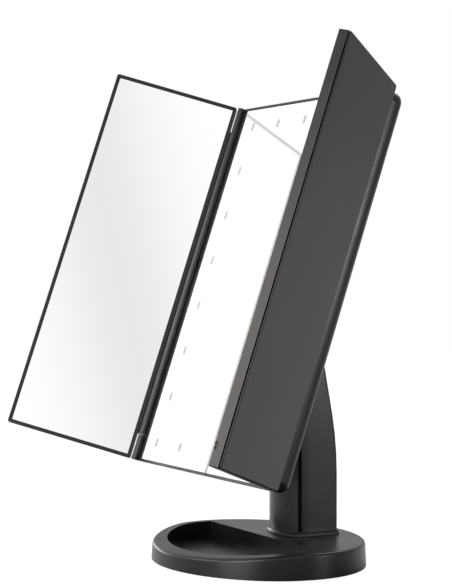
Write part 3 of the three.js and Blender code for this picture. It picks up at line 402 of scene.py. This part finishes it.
# etched light windows
windows = {
    "column": 68.1, "row": 111.3,  # mm from the middle to the light columns and rows
    "down": 8, "across": 5,
    "wide": 3.7, "tall": 5.9, "corner": 0.9, "steps": 5, "chamfer": 0.03,
    "low": -0.74, "high": -0.46,  # from the recess in the glass to just above its face
    "padWidth": 2.0,  # the bottom row has no window here, over the touch pad
}


def windowSpots(look):
    x, y = look["column"], look["row"]
    downs = [y - i * 2 * y / (look["down"] - 1) for i in range(look["down"])]
    acrosses = [i * 2 * x / (look["across"] - 1) - x for i in range(1, look["across"] - 1)]
    spots = [(side * x, down) for side in (-1, 1) for down in downs]
    return spots + [(a, y) for a in acrosses] + [(a, -y) for a in acrosses if abs(a) > look["padWidth"] / 2]


def roundedOutline(wide, tall, corner, steps):
    points = []
    for turn, (sx, sy) in enumerate(((1, 1), (-1, 1), (-1, -1), (1, -1))):
        for i in range(steps + 1):
            angle = (turn + i / steps) * math.pi / 2
            points.append(((sx * (wide / 2 - corner) + corner * math.cos(angle)) * mm,
                           (sy * (tall / 2 - corner) + corner * math.sin(angle)) * mm))
    return points


def addPlate(bm, outline, low, high, chamfer):
    # a flat plate with a fine chamfer round its upper face
    def ring(scale, z):
        return [bm.verts.new((x * scale, y * scale, z)) for x, y in outline]
    reach = max(abs(v) for point in outline for v in point)
    rings = [ring(1, low), ring(1, high - chamfer), ring(1 - chamfer / reach, high)]
    for lower, upper in zip(rings, rings[1:]):
        for i in range(len(lower)):
            j = (i + 1) % len(lower)
            bm.faces.new((lower[i], lower[j], upper[j], upper[i]))
    bm.faces.new(rings[-1])
    bm.faces.new(list(reversed(rings[0])))
    return [v for r in rings for v in r]


def meshPiece(name, bm, finish, body):
    bmesh.ops.recalc_face_normals(bm, faces=bm.faces)
    data = bpy.data.meshes.new(name)
    bm.to_mesh(data)
    bm.free()
    data.materials.append(finishes[finish])
    piece = bpy.data.objects.new(name, data)
    bpy.context.scene.collection.objects.link(piece)
    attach(piece, body)


def lightWindows(look):
    bm = bmesh.new()
    outline = roundedOutline(look["wide"], look["tall"], look["corner"], look["steps"])
    for x, y in windowSpots(look):
        plate = addPlate(bm, outline, look["low"] * mm, look["high"] * mm, look["chamfer"] * mm)
        bmesh.ops.translate(bm, verts=plate, vec=(x * mm, y * mm, 0))
    bmesh.ops.transform(bm, matrix=onHead, verts=bm.verts)
    meshPiece("frosted_light_windows", bm, "etched glass", "head")


lightWindows(windows)
print("light windows made")


# moulded lips over the glass beside the hinges
lips = {
    "over": 0.3,  # mm, past the glass to the bezel
    "thick": 0.2, "gap": 0.02,  # over the glass
    "corner": 0.08, "steps": 2, "chamfer": 0.05,
    "places": {  # the panes under each lip, its side of them in their frame, how far it reaches in, its body
        "left_wing_lip": (("left_wing_mirror",), 1, 1.1, "left_wing"),
        "centre_lip_left": (("centre_mirror",), -1, 2.6, "head"),
        "centre_lip_right": (("centre_mirror",), 1, 2.6, "head"),
        "right_wing_lip": (("right_wing_mirror_upper", "right_wing_mirror_lower"), -1, 1.1, "right_wing"),
    },
}


def glassPlace(pane):
    # the glass's own frame: y up along the panel and z out of its face
    up = onHead.to_3x3() @ Vector((0, 1, 0))
    faces = [face for face in pane.data.polygons if face.normal.y < 0]
    out = max(faces, key=lambda face: face.area).normal
    return Matrix((up.cross(out), up, out)).transposed()


def glassLip(name, panes, side, inward, body, look):
    turn = glassPlace(nodes[panes[0]])
    spots = [turn.inverted() @ v.co for pane in panes for v in nodes[pane].data.vertices]
    edge = max(side * spot.x for spot in spots) + look["over"] * mm
    bottom, top = min(spot.y for spot in spots), max(spot.y for spot in spots)
    face = max(spot.z for spot in spots) + look["gap"] * mm
    wide, tall = inward + look["over"], (top - bottom) / mm
    bm = bmesh.new()
    outline = roundedOutline(wide, tall, look["corner"], look["steps"])
    plate = addPlate(bm, outline, 0.0, look["thick"] * mm, look["chamfer"] * mm)
    middle = Vector((side * (edge - wide * mm / 2), (bottom + top) / 2, face))
    bmesh.ops.transform(bm, matrix=turn.to_4x4() @ Matrix.Translation(middle), verts=plate)
    meshPiece(name, bm, "satin moulded ABS, charcoal", body)


for name, (panes, side, inward, body) in lips["places"].items():
    glassLip(name, panes, side, inward, body, lips)
print("lips made:", len(lips["places"]))


# floor, world and lamps
studio = {
    "floorSize": 6.0,
    "floorHeight": -0.0002,  # metres, just under the anti-slip pad
    "floor": "#7d7d7d",
    "floorGlow": 0.96,  # what the camera sees of the floor besides its lit colour
    "floorGloss": 0.62,  # the same in gloss
    "paintedShade": (0.13, -0.03, 0.0),  # middle of a painted shade in the floor's glow beside the base, seen in gloss only
    "paintedShadeSpan": (0.06, 0.16),  # metres from there over which it fades out
    "paintedShadeReach": (0.1, 0.2),  # and metres of reach over which it is lost, so that the mirrors do not show it
    "sky": 0.25,  # light that falls on the object from all round
    "seam": (0.458, 0.857, 0.236),  # across the tent's seam, where its cloth is darker by the tone below
    "seamWidth": 0.07,
    "seamTone": 0.82,
    "low": (0.0, 0.16),  # below this height (sine of the angle) the tent is duller towards the floor
    "lowTone": 0.85,
    "high": (0.45, 0.95),  # and from this height up towards its top
    "highTone": 0.8,
    "behind": (0.0, 0.5),  # and behind the object, by how far it lies in that direction
    "behindTone": 0.6,
    "lamps": {  # from: degrees round from the front, degrees up, metres; then width, height and watts
        "key": {"from": (23, 19, 2.2), "size": (1.25, 1.0), "watts": 23.0},
        "low": {"from": (15, 3, 2.2), "size": (1.3, 0.35), "watts": 16.0},
        "rim": {"from": (122, 3, 1.9), "size": (0.4, 0.25), "watts": 6.5},
        "left": {"from": (-80, 5, 2.0), "size": (1.2, 0.4), "watts": 6.0},
        "fill": {"from": (-24, 25, 2.2), "size": (1.1, 0.5), "watts": 13.0},
        "back": {"from": (215, 42, 2.3), "size": (1.2, 1.0), "watts": 5.0},
        "top": {"from": (300, 70, 2.2), "size": (1.3, 1.3), "watts": 6.0},
    },
    "aim": (0.0, 0.0, 0.15),
}


def joined(tree, operation, blends):
    # one number from several, each going smoothly from its first tone to its second across a span
    made = None
    for value, span, tones in blends:
        part = addNode(tree, "ShaderNodeMapRange",
                       {"From Min": span[0], "From Max": span[1], "To Min": tones[0], "To Max": tones[1]},
                       {"Value": value}, interpolation_type="SMOOTHSTEP").outputs["Result"]
        if made is not None:
            part = addNode(tree, "ShaderNodeMath", links={0: made, 1: part}, operation=operation).outputs[0]
        made = part
    return made


def makeFloor(look):
    # a paper sweep: bright, no gloss; it keeps the contact shadow. In gloss the floor's glow carries a
    # painted shade beside the base.
    material, tree, place = newMaterial("matte white paper")
    paper = addNode(tree, "ShaderNodeBsdfDiffuse", {"Color": hexToLinear(look["floor"])})
    ray = addNode(tree, "ShaderNodeLightPath").outputs
    away = addNode(tree, "ShaderNodeVectorMath", {1: look["paintedShade"]}, {0: place}, operation="DISTANCE")
    # painted shade: in gloss the floor's glow fades out near the middle of the shade, except for long
    # reflections
    unshaded = joined(tree, "MAXIMUM", ((away.outputs["Value"], look["paintedShadeSpan"], (0.0, 1.0)),
                                    (ray["Ray Length"], look["paintedShadeReach"], (0.0, 1.0))))
    direct = addNode(tree, "ShaderNodeMath", links={0: ray["Is Camera Ray"], 1: ray["Is Transmission Ray"]},
                     operation="MAXIMUM").outputs[0]
    bright, dull = (
        addNode(tree, "ShaderNodeMath", {1: look[tone]}, {0: seen}, operation="MULTIPLY").outputs[0]
        for tone, seen in (("floorGlow", direct), ("floorGloss", ray["Is Glossy Ray"])))
    gloss = addNode(tree, "ShaderNodeMath", links={0: dull, 1: unshaded}, operation="MULTIPLY").outputs[0]
    strength = addNode(tree, "ShaderNodeMath", links={0: bright, 1: gloss}, operation="ADD").outputs[0]
    glow = addNode(tree, "ShaderNodeEmission", {"Color": (1, 1, 1, 1)}, {"Strength": strength})
    both = addNode(tree, "ShaderNodeAddShader", links={0: paper.outputs[0], 1: glow.outputs[0]})
    addNode(tree, "ShaderNodeOutputMaterial", links={"Surface": both.outputs[0]})
    bm = bmesh.new()
    bmesh.ops.create_grid(bm, x_segments=1, y_segments=1, size=look["floorSize"] / 2)
    data = bpy.data.meshes.new("floor")
    bm.to_mesh(data)
    bm.free()
    data.materials.append(material)
    floor = bpy.data.objects.new("floor", data)
    floor.location.z = look["floorHeight"]
    bpy.context.scene.collection.objects.link(floor)


def makeWorld(look):
    # white for the camera, in gloss and through glass, with one soft seam and duller ends in the gloss
    world = bpy.data.worlds.new("white tent")
    bpy.context.scene.world = world
    world.use_nodes = True
    tree = world.node_tree
    tree.nodes.clear()
    way = addNode(tree, "ShaderNodeTexCoord").outputs["Generated"]
    across = addNode(tree, "ShaderNodeVectorMath", {1: look["seam"]}, {0: way},
                     operation="DOT_PRODUCT").outputs["Value"]
    apart = addNode(tree, "ShaderNodeMath", links={0: across}, operation="ABSOLUTE").outputs[0]
    parts = addNode(tree, "ShaderNodeSeparateXYZ", links={0: way}).outputs
    cloth = joined(tree, "MULTIPLY", ((apart, (0.0, look["seamWidth"]), (look["seamTone"], 1.0)),
                                      (parts["Z"], look["low"], (look["lowTone"], 1.0)),
                                      (parts["Z"], look["high"], (1.0, look["highTone"])),
                                      (parts["Y"], look["behind"], (1.0, look["behindTone"]))))
    ray = addNode(tree, "ShaderNodeLightPath").outputs
    light = addNode(tree, "ShaderNodeMapRange", {"To Min": look["sky"]},
                    {"Value": ray["Is Glossy Ray"], "To Max": cloth}).outputs["Result"]
    for white in ("Is Camera Ray", "Is Transmission Ray"):
        light = addNode(tree, "ShaderNodeMath", links={0: light, 1: ray[white]},
                        operation="MAXIMUM").outputs[0]
    sky = addNode(tree, "ShaderNodeBackground", {"Color": (1, 1, 1, 1)}, {"Strength": light})
    addNode(tree, "ShaderNodeOutputWorld", links={"Surface": sky.outputs[0]})


def makeLamps(look):
    for name, lamp in look["lamps"].items():
        data = bpy.data.lights.new(name, "AREA")
        data.shape, data.size, data.size_y, data.energy = "RECTANGLE", *lamp["size"], lamp["watts"]
        around, up, away = lamp["from"]
        toLamp = towards(around, up)
        placeAndAim(name, data, Vector(look["aim"]) + toLamp * away, toLamp)


makeFloor(studio)
makeWorld(studio)
makeLamps(studio)
bpy.context.scene.view_settings.view_transform = "Standard"
print("studio set")
